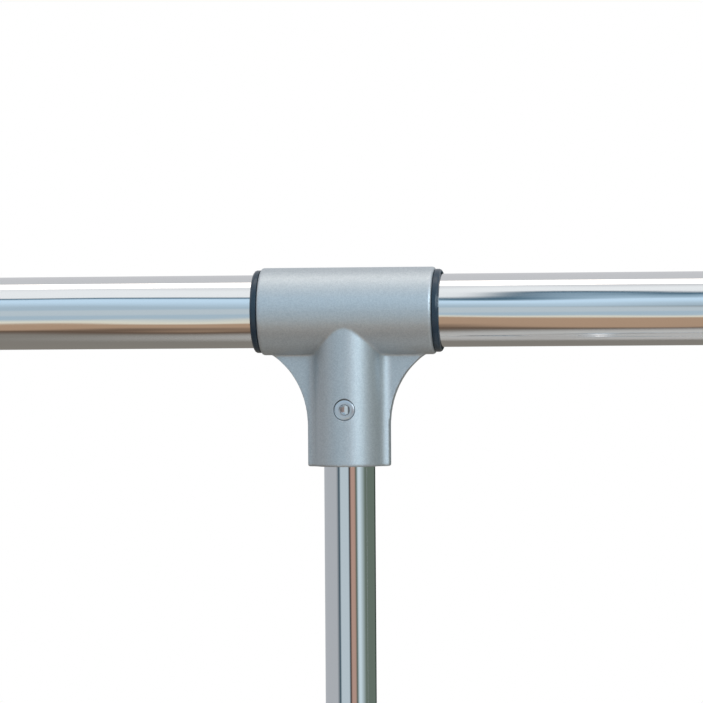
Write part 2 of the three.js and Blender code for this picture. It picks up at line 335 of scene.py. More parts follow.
def round_edges(bm: bmesh.types.BMesh, radius: float, segments: int = 3) -> None:
    """Bevels every sharp edge of a shell.

    Args:
        bm: the shell, in metres.
        radius: the bevel's width in mm.
        segments: its segments.
    """
    sharp = [e for e in bm.edges if e.is_manifold and e.calc_face_angle(0) > SHARP]
    bmesh.ops.bevel(bm, geom=sharp, offset=radius * MM, offset_type="OFFSET", segments=segments,
                    profile=0.5, affect="EDGES", clamp_overlap=True, material=-1)


def solid_rod(radius: float, low: float, high: float, steps: int = ROUND,
              rounding: float = 0.0) -> bmesh.types.BMesh:
    """A plain round bar along +Z, in mm."""
    return lathe([(0, low), (radius, low), (radius, high), (0, high)], steps, rounding)


def bore(radius: float, low: float, high: float, chamfer: float = 0.0,
         steps: int = ROUND) -> bmesh.types.BMesh:
    """A cutter for a round hole along +Z, which can open in a chamfer at its low end.

    Args:
        radius: the hole's radius in mm.
        low: where it opens.
        high: where it ends.
        chamfer: the chamfer's width, or 0 for none.
        steps: sides of the hole.

    Returns:
        The closed cutter.
    """
    mouth = low - OVERRUN
    flare = [(0, mouth), (radius + chamfer + OVERRUN, mouth), (radius, low + chamfer)]
    plain = [(0, low), (radius, low)]
    return lathe([*(flare if chamfer else plain), (radius, high), (0, high)], steps)


def slab(outline: Sequence[Point], thickness: float, rounding: float = 0.0) -> bmesh.types.BMesh:
    """A plate in the XZ plane, centred on it.

    Args:
        outline: (x, z) points in mm.
        thickness: along Y, in mm.
        rounding: bevel on its sharp edges, in mm.

    Returns:
        The plate in metres.
    """
    bm = bmesh.new()
    face = bm.faces.new([bm.verts.new((x * MM, -thickness / 2 * MM, z * MM)) for x, z in outline])
    made = bmesh.ops.extrude_face_region(bm, geom=[face])["geom"]
    raised = [g for g in made if isinstance(g, bmesh.types.BMVert)]
    bmesh.ops.translate(bm, verts=raised, vec=(0, thickness * MM, 0))
    bmesh.ops.recalc_face_normals(bm, faces=bm.faces)
    if rounding:
        round_edges(bm, rounding)
    return bm


def block(size: Sequence[float], centre: Sequence[float], rounding: float) -> bmesh.types.BMesh:
    """A rounded box.

    Args:
        size: along X, Y and Z, in mm.
        centre: its middle, in mm.
        rounding: bevel on its edges, in mm.

    Returns:
        The box in metres.
    """
    bm = bmesh.new()
    bmesh.ops.create_cube(bm, size=1.0)
    bmesh.ops.scale(bm, verts=bm.verts, vec=[s * MM for s in size])
    round_edges(bm, rounding)
    bmesh.ops.translate(bm, verts=bm.verts, vec=[c * MM for c in centre])
    return bm


def moved(bm: bmesh.types.BMesh, matrix: Matrix, at: Sequence[float] = (0, 0, 0)) -> bmesh.types.BMesh:
    """Turns a shell, then moves it by a place in mm, and gives it back."""
    bmesh.ops.transform(bm, matrix=Matrix.Translation(Vector(at) * MM) @ matrix, verts=bm.verts)
    return bm


def to_mesh(*shells: bmesh.types.BMesh) -> bpy.types.Mesh:
    """Gathers shells in one mesh.

    Args:
        shells: the shells, which are used up.

    Returns:
        The mesh.
    """
    mesh = bpy.data.meshes.new("shell")
    whole = bmesh.new()
    for shell in shells:
        part = bpy.data.meshes.new("part")
        shell.to_mesh(part)
        shell.free()
        whole.from_mesh(part)
        bpy.data.meshes.remove(part)
    whole.to_mesh(mesh)
    whole.free()
    return mesh


def evaluated(mesh: bpy.types.Mesh, modifiers: Sequence[tuple[str, dict]]) -> bpy.types.Mesh:
    """Applies modifiers to a mesh.

    Args:
        mesh: the mesh that goes in, which is used up.
        modifiers: each modifier's type and settings.

    Returns:
        A new mesh.
    """
    holder = bpy.data.objects.new("holder", mesh)
    bpy.context.scene.collection.objects.link(holder)
    for kind, settings in modifiers:
        modifier = holder.modifiers.new(kind.lower(), kind)
        for name, value in settings.items():
            setattr(modifier, name, value)
    bpy.context.view_layer.update()
    graph = bpy.context.evaluated_depsgraph_get()
    made = bpy.data.meshes.new_from_object(holder.evaluated_get(graph), depsgraph=graph)
    bpy.data.objects.remove(holder)
    bpy.data.meshes.remove(mesh)
    return made


def combine(mesh: bpy.types.Mesh, tools: Sequence[bmesh.types.BMesh],
            how: Cut = Cut.away) -> bpy.types.Mesh:
    """Cuts a mesh with closed shells, one after the other.

    Args:
        mesh: the mesh to cut, which is used up.
        tools: the shells, which are used up.
        how: whether a shell takes its inside away or keeps only that.

    Returns:
        The cut mesh.
    """
    for shell in tools:
        tool = bpy.data.objects.new("tool", to_mesh(shell))
        bpy.context.scene.collection.objects.link(tool)
        settings = {"operation": how.value, "solver": "EXACT", "object": tool}
        mesh = evaluated(mesh, [("BOOLEAN", settings)])
        blade = tool.data
        bpy.data.objects.remove(tool)
        bpy.data.meshes.remove(blade)
    return mesh


def cast(shells: Sequence[bmesh.types.BMesh], cutters: Sequence[bmesh.types.BMesh] = (),
         grain: float = 0.6, smoothing: int = 8) -> bpy.types.Mesh:
    """Melts overlapping shells into one casting with soft inner corners, then machines its holes.

    Args:
        shells: closed shells that overlap.
        cutters: the holes.
        grain: the casting's voxel size in mm.
        smoothing: rounds of smoothing.

    Returns:
        The casting's mesh.
    """
    melted = evaluated(to_mesh(*shells), [
        ("REMESH", {"mode": "VOXEL", "voxel_size": grain * MM, "use_smooth_shade": True}),
        ("SMOOTH", {"factor": 0.5, "iterations": smoothing}),
    ])
    return combine(melted, cutters)


def turn(degrees: float, axis: str) -> Matrix:
    """A rotation about a row axis."""
    return Matrix.Rotation(math.radians(degrees), 4, axis)


# ---- putting pieces in the frame ----
BODY_OF = {n: b for b, nodes in frame["record"]["behaviour"]["bodies"].items() for n in nodes}


def centre_of(node: str) -> Vector:
    """The middle of a CAD node's box, in metres."""
    low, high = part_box(node)
    return (Vector(low) + Vector(high)) / 2


def install(node: str, kind: str, mesh: bpy.types.Mesh, place: Matrix,
            material: bpy.types.Material) -> bpy.types.Object:
    """Puts a finished mesh in the place of a CAD node.

    Args:
        node: the CAD node it stands for.
        kind: what the piece is, for its name.
        mesh: the mesh, copied so that one shape can serve several nodes.
        place: where it goes.
        material: its finish.

    Returns:
        The new object, riding on the node's body.
    """
    shape = mesh.copy()
    shape.transform(place)
    shape.materials.clear()
    shape.materials.append(material)
    shape.shade_smooth()
    shape.set_sharp_from_angle(angle=SHARP)
    piece = bpy.data.objects.new(f"{node}.{kind}", shape)
    bpy.context.scene.collection.objects.link(piece)
    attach(piece, BODY_OF[node])
    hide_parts(node)
    log.info("%s: %d faces on %s", piece.name, len(shape.polygons), BODY_OF[node])
    return piece


def at(point: Vector) -> Matrix:
    """A move to a point in metres."""
    return Matrix.Translation(point)


# ---- sub-assemblies ----
@dataclass
class Tubing:
    """The chromed tubes: rail, rods, posts, sleeves and base tubes, in mm."""

    rail: Point = (15.9, 1.2)
    rod: Point = (14.2, 1.0)
    post: Point = (11.1, 1.0)
    frame_tube: Point = (12.7, 1.2)
    lip: float = 0.25
    support: float = 1.0  # from each end to a loop that keeps the long walls straight

    def tube(self, node: str, size: Point, axis: Axis) -> None:
        """Builds one tube over its CAD node's length.

        Args:
            node: the CAD node.
            size: outer radius and wall.
            axis: the tube's direction.
        """
        low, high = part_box(node)
        outer, wall = size
        inner = outer - wall
        index = "XYZ".index(axis.name)
        half = (high[index] - low[index]) / 2 / MM
        straight = half - self.support
        shell = lathe([(inner, -half), (outer, -half), (outer, -straight), (outer, straight),
                       (outer, half), (inner, half), (inner, straight), (inner, -straight),
                       (inner, -half)], ROUND, self.lip)
        bmesh.ops.transform(shell, matrix=axis.value, verts=shell.verts)
        install(node, "tube", to_mesh(shell), at(centre_of(node)), CHROME[axis])

    def build(self) -> None:
        """Builds every tube."""
        self.tube("hanging_rail", self.rail, Axis.X)
        for side in Side:
            self.tube(f"{side.name}_extension_rod", self.rod, Axis.X)
            self.tube(f"{side.name}_sliding_post", self.post, Axis.Z)
            self.tube(f"{side.name}_post_sleeve", self.frame_tube, Axis.Z)
            self.tube(f"{side.name}_foot_tube", self.frame_tube, Axis.Y)
        for end in End:
            self.tube(f"{end.name}_base_rail", self.frame_tube, Axis.X)


@dataclass
class TeeCasting:
    """A cast tee: collar along X, oval socket downwards, thin flared web on both sides, in mm."""

    collar: float
    half: float
    bore: float
    floor: float
    post_bore: float
    socket_half_width: float
    socket_half_depth: float
    drop: float
    web_half: float
    web_reach: float
    flare_start: float
    screw_drop: float
    web_half_thickness: float = 3.0
    fillet: float = 6.0
    sweep: float = 1.12  # how far round its ellipse the web's flare runs, in radians
    lip: float = 0.5
    edge: float = 1.0
    screw_hole: float = 3.3
    head_hole: float = 4.7
    head_depth: float = 3.2
    head_chamfer: float = 0.35
    oval_steps: int = 24
    fillet_steps: int = 10
    grain: float = 0.5
    smoothing: int = 3

    def fillet_centre(self, angle: float) -> Point:
        """The centre of a fillet that touches the oval.

        Args:
            angle: where it touches, on the oval from the X axis, in radians.

        Returns:
            The centre as (x, y).
        """
        a, b = self.socket_half_width, self.socket_half_depth
        normal = Vector((math.cos(angle) / a, math.sin(angle) / b)).normalized()
        return (a * math.cos(angle) + self.fillet * normal.x,
                b * math.sin(angle) + self.fillet * normal.y)

    def fillet_angle(self) -> float:
        """Finds where on the oval the fillet to the web starts, by halving the interval.

        Returns:
            The angle on the oval from the X axis, in radians.
        """
        low, high = 0.0, math.pi / 2
        for _ in range(40):
            middle = (low + high) / 2
            if self.fillet_centre(middle)[1] > self.web_half_thickness + self.fillet:
                high = middle
            else:
                low = middle
        return low

    def section(self) -> list[Point]:
        """The socket's section, which runs through a fillet into a plate on both sides.

        Returns:
            The closed outline, anticlockwise from the front right.
        """
        start = self.fillet_angle()
        x, y = self.fillet_centre(start)
        a, b = self.socket_half_width, self.socket_half_depth
        touch = math.atan2(b * math.sin(start) - y, a * math.cos(start) - x) % math.tau
        quarter = []
        for i in range(self.oval_steps):
            angle = math.pi / 2 + (start - math.pi / 2) * i / self.oval_steps
            quarter.append((a * math.cos(angle), b * math.sin(angle)))
        for i in range(self.fillet_steps + 1):
            angle = touch + (1.5 * math.pi - touch) * i / self.fillet_steps
            quarter.append((x + self.fillet * math.cos(angle), y + self.fillet * math.sin(angle)))
        quarter.append((self.web_reach + 1, self.web_half_thickness))
        right = quarter + [(px, -py) for px, py in reversed(quarter)]
        return right[:-1] + [(-px, py) for px, py in reversed(right[1:])]

    def silhouette(self) -> list[Point]:
        """The socket seen from the front: straight sides that flare out under the collar.

        Returns:
            The closed outline as (x, z) points.
        """
        low, high = -self.flare_start, 1 - self.collar
        width = (self.web_reach - self.web_half) / (1 - math.cos(self.sweep))
        right = [(self.web_half, -self.drop)]
        for i in range(self.oval_steps + 1):
            angle = self.sweep * i / self.oval_steps
            rise = math.sin(angle) / math.sin(self.sweep)
            right.append((self.web_half + width * (1 - math.cos(angle)), low + rise * (high - low)))
        right.append((self.web_reach, 0))
        return right + [(-x, z) for x, z in reversed(right)]

    def socket_shell(self) -> bmesh.types.BMesh:
        """Raises the socket's section, and trims it to the silhouette.

        Returns:
            The closed socket and web.
        """
        raised = moved(slab(self.section(), self.drop), turn(-90, "X"), (0, 0, -self.drop / 2))
        outline = slab(self.silhouette(), 3 * self.socket_half_depth)
        shell = bmesh.new()
        shell.from_mesh(combine(to_mesh(raised), [outline], Cut.keep))
        return shell

    def mesh(self) -> bpy.types.Mesh:
        """Casts the tee about its rail axis, and machines its holes.

        Returns:
            The tee, with its collar's middle at the origin.
        """
        barrel = moved(solid_rod(self.collar, -self.half, self.half, ROUND, self.edge), Axis.X.value)
        past = self.half + OVERRUN
        seat = self.head_depth - self.socket_half_depth
        at_screw = (0, 0, -self.screw_drop)
        through = solid_rod(self.screw_hole, -self.collar - 2 * OVERRUN, 0, SMALL)
        recess = bore(self.head_hole, -self.socket_half_depth, seat, self.head_chamfer, SMALL)
        return cast([barrel, self.socket_shell()], [
            moved(solid_rod(self.bore, -past, past), Axis.X.value),
            bore(self.post_bore, -self.drop, -self.floor, self.lip),
            moved(through, Axis.Y.value, at_screw),
            moved(recess, Axis.Y.value, at_screw),
        ], self.grain, self.smoothing)


@dataclass
class SocketScrew:
    """A button-head screw with a hexagon socket, in mm."""

    head: float = 4.6
    head_height: float = 1.9
    shank: float = 3.0
    length: float = 8.0
    hexagon: float = 2.3  # to its corners
    hexagon_depth: float = 6.5
    funnel: float = 2.1
    edge: float = 0.12

    def mesh(self) -> bpy.types.Mesh:
        """Turns the screw along +Y, and punches its socket.

        Returns:
            The screw, with its head's face at y = 0.
        """
        body = lathe([(0, 0), (self.head - 0.9, 0), (self.head - 0.2, 0.2), (self.head, 0.6),
                      (self.head, self.head_height), (self.shank, self.head_height),
                      (self.shank, self.length), (0, self.length)], SMALL, self.edge)
        punch = bmesh.new()
        bmesh.ops.create_cone(punch, cap_ends=True, segments=6, radius1=self.hexagon * MM,
                              radius2=self.hexagon * MM, depth=2 * self.hexagon_depth * MM)
        lead_in = lathe([(0, -1), (self.funnel + 1.3, -1), (self.funnel, 0.4), (0, 0.4)], SMALL)
        return combine(to_mesh(moved(body, Axis.Y.value)),
                       [moved(punch, Axis.Y.value), moved(lead_in, Axis.Y.value)])


@dataclass
class RailJoint:
    """The joint between rail and post: cast tee, two rings and a recessed screw."""

    tee: TeeCasting = field(default_factory=lambda: TeeCasting(
        collar=19.0, half=38.0, bore=17.6, floor=20.6, post_bore=11.4, socket_half_width=15.0,
        socket_half_depth=17.4, drop=67.4, web_half=17.9, web_reach=35.0, flare_start=50.0,
        screw_drop=42.8))
    ring_bore: float = 16.2
    ring_sleeve: float = 17.3
    ring_flange: float = 18.0
    ring_depth: float = 12.0
    ring_face: float = 3.0
    ring_gap: float = 0.3
    ring_edge: float = 0.15
    screw: SocketScrew = field(default_factory=SocketScrew)

    def ring_mesh(self) -> bpy.types.Mesh:
        """A ring with a rounded flange, whose sleeve points to -X.

        Returns:
            The ring, with the collar's face at x = 0.
        """
        flange, face = self.ring_flange, self.ring_face
        shell = lathe([
            (self.ring_bore, -self.ring_depth), (self.ring_sleeve, -self.ring_depth),
            (self.ring_sleeve, self.ring_gap), (flange, self.ring_gap),
            (flange, face - 1.0), (flange - 0.3, face - 0.4), (flange - 0.9, face),
            (self.ring_bore, face), (self.ring_bore, -self.ring_depth)], ROUND, self.ring_edge)
        return to_mesh(moved(shell, Axis.X.value))

    def build(self) -> None:
        """Builds both joints."""
        tee, ring, screw = self.tee.mesh(), self.ring_mesh(), self.screw.mesh()
        for side in Side:
            node = f"{side.name}_rail_tee"
            middle = centre_of(node)
            middle.z = centre_of("hanging_rail").z
            install(node, "casting", tee, at(middle), PAINT)
            for end, way in (("outer", side.value), ("inner", -side.value)):
                place = middle + Vector((way * self.tee.half * MM, 0, 0))
                facing = turn(0 if way > 0 else 180, "Z")
                install(f"{side.name}_tee_{end}_ring", "moulding", ring, at(place) @ facing,
                        RING_PLASTIC)
            node = f"{side.name}_tee_screw"
            face = centre_of(node)
            face.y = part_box(node)[0][1]
            install(node, "turning", screw, at(face), ZINC)


@dataclass
class FootJoint:
    """The joint between foot tube and post sleeve, which is the tee the other way up."""

    tee: TeeCasting = field(default_factory=lambda: TeeCasting(
        collar=17.0, half=32.0, bore=13.0, floor=14.5, post_bore=13.0, socket_half_width=17.0,
        socket_half_depth=18.0, drop=58.0, web_half=19.0, web_reach=30.0, flare_start=44.0,
        screw_drop=38.0))
    screw: SocketScrew = field(default_factory=SocketScrew)

    def build(self) -> None:
        """Builds both joints."""
        tee, screw = self.tee.mesh(), self.screw.mesh()
        for side in Side:
            node = f"{side.name}_foot_tee"
            middle = centre_of(node)
            middle.z = centre_of(f"{side.name}_foot_tube").z
            place = at(middle) @ turn(-90 * side.value, "Z") @ turn(180, "X")
            install(node, "casting", tee, place, PAINT)
            node = f"{side.name}_foot_tee_screw"
            low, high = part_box(node)
            face = centre_of(node)
            face.x = high[0] if side is Side.right else low[0]
            install(node, "turning", screw, at(face) @ turn(90 * side.value, "Z"), ZINC)


@dataclass
class LockCollar:
    """A clamping collar along +Z over the end of an outer tube, with a boss towards -Y, in mm."""

    radius: float
    below: float
    above: float
    boss: float
    boss_reach: float
    outer_bore: float
    inner_bore: float
    stud_bore: float = 3.3
    gap: float = 0.3
    groove_rises: tuple[float, float] = (6.0, 10.0)  # from the low end
    groove_depth: float = 0.7
    groove_half: float = 0.9
    bead_width: float = 1.2
    bead_start: float = 2.5
    bead_edge: float = 1.0
    boss_edge: float = 0.8
    mouth_chamfer: float = 0.5
    stud_chamfer: float = 0.4
    grain: float = 0.5
    smoothing: int = 5

    def facing_tool(self) -> bmesh.types.BMesh:
        """A cutter that bores the collar for the inner tube and faces its top end flat.

        Returns:
            The closed cutter along +Z.
        """
        wide, past = self.boss_reach + 2 * OVERRUN, self.above + 3 * OVERRUN
        return lathe([(0, -OVERRUN), (self.inner_bore, -OVERRUN), (self.inner_bore, self.above),
                      (wide, self.above), (wide, past), (0, past)])

    def mesh(self) -> bpy.types.Mesh:
        """Casts the collar with two shallow grooves and a bead round its boss.

        Returns:
            The collar, with the outer tube's end at z = 0.
        """
        r = self.radius
        grooves = []
        for height in (rise - self.below for rise in self.groove_rises):
            grooves += [(r, height - self.groove_half), (r - self.groove_depth, height),
                        (r, height + self.groove_half)]
        body = lathe([(0, -self.below), (r - 0.8, -self.below), (r, 0.8 - self.below), *grooves,
                      (r, self.above - 4), (r - 0.8, self.above - 1.4), (r - 2.6, self.above),
                      (0, self.above)])
        height = (0, 0, self.above / 2)
        lug = solid_rod(self.boss, -self.boss_reach, 0, SMALL, self.boss_edge)
        bead = solid_rod(self.boss + self.bead_width, self.bead_start - self.boss_reach, 0, SMALL,
                         self.bead_edge)
        stud_hole = bore(self.stud_bore, -self.boss_reach, 0, self.stud_chamfer, SMALL)
        cutters = [
            bore(self.outer_bore, -self.below, self.gap, self.mouth_chamfer),
            self.facing_tool(),
            moved(stud_hole, Axis.Y.value, height),
        ]
        shells = [body, moved(lug, Axis.Y.value, height), moved(bead, Axis.Y.value, height)]
        return cast(shells, cutters, self.grain, self.smoothing)


@dataclass
class ClampKnob:
    """A lobed knob towards -Y with a threaded stud towards +Y, in mm."""

    radius: float = 14.5
    lobe: float = 1.8
    lobes: int = 6
    thickness: float = 13.0
    stud: float = 3.0
    pitch: float = 1.0
    thread_depth: float = 0.45
    cap: float = 9.2
    cap_rise: float = 0.6
    edge: float = 1.8
    lobe_steps: int = 24
    grain: float = 0.42
    smoothing: int = 3

    def grip_mesh(self) -> bpy.types.Mesh:
        """The moulded grip: a lobed outline, rounded, round a raised cap with a dished face.

        Returns:
            The grip, with its back face at y = 0.
        """
        bm = bmesh.new()
        bmesh.ops.create_circle(bm, cap_ends=True, segments=self.lobes * self.lobe_steps,
                                radius=self.radius * MM)
        for vert in bm.verts:
            angle = math.atan2(vert.co.y, vert.co.x)
            vert.co *= (self.radius + self.lobe * math.cos(self.lobes * angle)) / self.radius
        made = bmesh.ops.extrude_face_region(bm, geom=bm.faces[:])["geom"]
        raised = [g for g in made if isinstance(g, bmesh.types.BMVert)]
        body = self.thickness - self.cap_rise
        bmesh.ops.translate(bm, verts=raised, vec=(0, 0, body * MM))
        bmesh.ops.recalc_face_normals(bm, faces=bm.faces)
        round_edges(bm, self.edge, 5)
        top, low = self.thickness, body - 1.4
        r = self.cap
        dish = lathe([(0, low), (r + 1.0, low), (r + 2.2, top), (0, top)], SMALL)
        cap = lathe([(0, low - 1), (r, low - 1), (r, top - 0.7), (r - 0.7, top), (r - 1.9, top),
                     (r - 5.2, top - 0.7), (0, top - 0.9)], SMALL)
        grip = combine(to_mesh(bm), [dish])
        whole = bmesh.new()
        whole.from_mesh(grip)
        shells = [moved(whole, turn(90, "X")), moved(cap, turn(90, "X"))]
        return cast(shells, (), self.grain, self.smoothing)

    def stud_shell(self, length: float) -> bmesh.types.BMesh:
        """The steel stud along +Y, with rings for its thread and a rounded tip.

        Args:
            length: how far it reaches from the grip's back face, in mm.

        Returns:
            The stud.
        """
        core = self.stud - self.thread_depth
        profile = [(0, -1.0), (self.stud, -1.0), (self.stud, 0.6)]
        height = 0.9
        while height + self.pitch < length - 0.8:
            profile += [(core, height), (self.stud, height + self.pitch / 2)]
            height += self.pitch
        profile += [(core, height), (core, length - 0.4), (core - 0.6, length), (0, length)]
        return moved(lathe(profile, SMALL), Axis.Y.value)

    def build(self, node: str, length: float, place: Matrix) -> None:
        """Puts a knob in place.

        Args:
            node: the CAD node.
            length: the stud's length.
            place: the middle of the grip's back face, and its turn.
        """
        install(node, "grip", self.grip_mesh(), place, GRIP_PLASTIC)
        stud = install(node, "stud", to_mesh(self.stud_shell(length)), place, ZINC)


@dataclass
class Telescopes:
    """The clamps of the sliding posts and of the extension rods, and the ends of both tubes."""

    post_collar: LockCollar = field(default_factory=lambda: LockCollar(
        radius=17.0, below=34.0, above=22.0, boss=8.0, boss_reach=22.0, outer_bore=13.0,
        inner_bore=11.4))
    rail_collar: LockCollar = field(default_factory=lambda: LockCollar(
        radius=18.5, below=22.0, above=14.0, boss=7.0, boss_reach=24.0, outer_bore=16.2,
        inner_bore=14.5))
    knob: ClampKnob = field(default_factory=ClampKnob)
    gap: float = 0.3
    tip: float = 0.2  # how far a stud stands into its collar's bore, short of the tube

    def cap_mesh(self) -> bpy.types.Mesh:
        """A domed stop for the end of a rod, facing +X, with two shallow grooves round it.

        Returns:
            The cap, with its stop face at x = 0.
        """
        shell = lathe([(0, -14), (12.2, -14), (12.9, -13), (12.9, 0), (17.0, 0), (17.5, 0.6),
                       (17.5, 2.0), (17.0, 2.5), (17.5, 3.0), (17.5, 4.4), (17.0, 4.9), (17.5, 5.4),
                       (17.4, 7.0), (16.3, 10.0), (13.8, 12.8), (10.8, 14.6), (9.6, 15.0),
                       (0, 15.0)], ROUND)
        return to_mesh(moved(shell, Axis.X.value))

    def plug_mesh(self) -> bpy.types.Mesh:
        """The glide plug along +Z, with the lower end of its sliding post at z = 0."""
        return to_mesh(lathe([(0, -8), (10.4, -8), (11.2, -7.2), (11.2, -0.3), (9.8, -0.3),
                              (9.8, 11), (9.2, 12), (0, 12)], ROUND, 0.15))

    def stud_length(self, collar: LockCollar) -> float:
        """How long the stud of a collar's knob is from the grip's back face, in mm."""
        return collar.boss_reach + self.gap + self.tip - collar.inner_bore

    def build(self) -> None:
        """Builds both posts' clamps and both ends of the rail."""
        post_collar, rail_collar = self.post_collar.mesh(), self.rail_collar.mesh()
        cap, plug = self.cap_mesh(), self.plug_mesh()
        rail_z = centre_of("hanging_rail").z
        rail_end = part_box("hanging_rail")[1][0]
        for side in Side:
            name, sign = side.name, side.value
            outward = turn(0 if sign > 0 else 180, "Z")
            top = centre_of(f"{name}_post_sleeve")
            top.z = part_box(f"{name}_post_sleeve")[1][2]
            install(f"{name}_height_collar", "casting", post_collar, at(top), PAINT)
            reach, above = self.post_collar.boss_reach, self.post_collar.above
            back = top + Vector((0, -(reach + self.gap), above / 2)) * MM
            length = self.stud_length(self.post_collar)
            self.knob.build(f"{name}_height_knob", length, at(back))

            end = Vector((sign * rail_end, 0, rail_z))
            upright = turn(90 * sign, "Z") @ turn(90, "X")
            install(f"{name}_rail_end_collar", "casting", rail_collar, at(end) @ upright, PAINT)
            reach, above = self.rail_collar.boss_reach, self.rail_collar.above
            back = end + Vector((sign * above / 2 * MM, 0, -(reach + self.gap) * MM))
            length = self.stud_length(self.rail_collar)
            self.knob.build(f"{name}_rail_lock_knob", length, at(back) @ turn(90, "X"))

            face = Vector((sign * (rail_end + (self.rail_collar.above + 1) * MM), 0, rail_z))
            install(f"{name}_rod_end_cap", "moulding", cap, at(face) @ outward, GRIP_PLASTIC)
            foot = centre_of(f"{name}_sliding_post")
            foot.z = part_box(f"{name}_sliding_post")[0][2]
            install(f"{name}_post_glide_plug", "moulding", plug, at(foot), GRIP_PLASTIC)


@dataclass
class BaseCorner:
    """A cast corner: a domed hub over the caster's stem and two sleeves towards +X and +Y, in mm."""

    hub: float = 18.0
    sleeve: float = 16.6
    reach: float = 46.0
    tube_bore: float = 13.0
    tube_start: float = 20.0
    below: float = 18.8
    dome: float = 20.4
    stem_bore: float = 5.8
    stem_top: float = 10.3
    bead: float = 0.9
    gap: float = 0.3
    mouth_chamfer: float = 1.5
    grain: float = 0.65
    smoothing: int = 6

    def mesh(self) -> bpy.types.Mesh:
        """Casts the corner, with a bead round each sleeve's mouth, and machines its holes.

        Returns:
            The corner, with the two tubes' axes crossing at the origin.
        """
        r, low, top = self.hub, -self.below, self.dome
        body = lathe([(0, low), (r - 1, low), (r, low + 1), (r, 9), (r - 1.2, 13.2),
                      (r - 5, 17.2), (r - 11, 19.7), (0, top)])
        shells = [body]
        cutters = [bore(self.stem_bore, low, self.stem_top, 0.5, SMALL)]
        for axis in (Axis.X, Axis.Y):
            neck, mouth = self.sleeve - self.bead, self.reach
            arm = lathe([(0, 0), (neck, 0), (neck, mouth - 6), (self.sleeve, mouth - 5),
                         (self.sleeve, mouth - 0.8), (self.sleeve - 0.8, mouth), (0, mouth)])
            shells.append(moved(arm, axis.value))
            start, past = self.tube_start - self.gap, mouth + OVERRUN
            hole = lathe([(0, start), (self.tube_bore, start), (self.tube_bore, mouth - 0.5),
                          (self.tube_bore + self.mouth_chamfer, past), (0, past)])
            cutters.append(moved(hole, axis.value))
        return cast(shells, cutters, self.grain, self.smoothing)

    def build(self) -> None:
        """Builds the four corners from one casting, turned by quarters."""
        casting = self.mesh()
        quarters = {(End.front, Side.left): 0, (End.front, Side.right): 90,
                    (End.rear, Side.right): 180, (End.rear, Side.left): 270}
        for (end, side), angle in quarters.items():
            middle = centre_of(f"{end.name}_{side.name}_caster_stem")
            middle.z = centre_of(f"{side.name}_foot_tube").z
            install(f"{end.name}_{side.name}_corner", "casting", casting,
                    at(middle) @ turn(angle, "Z"), PAINT)


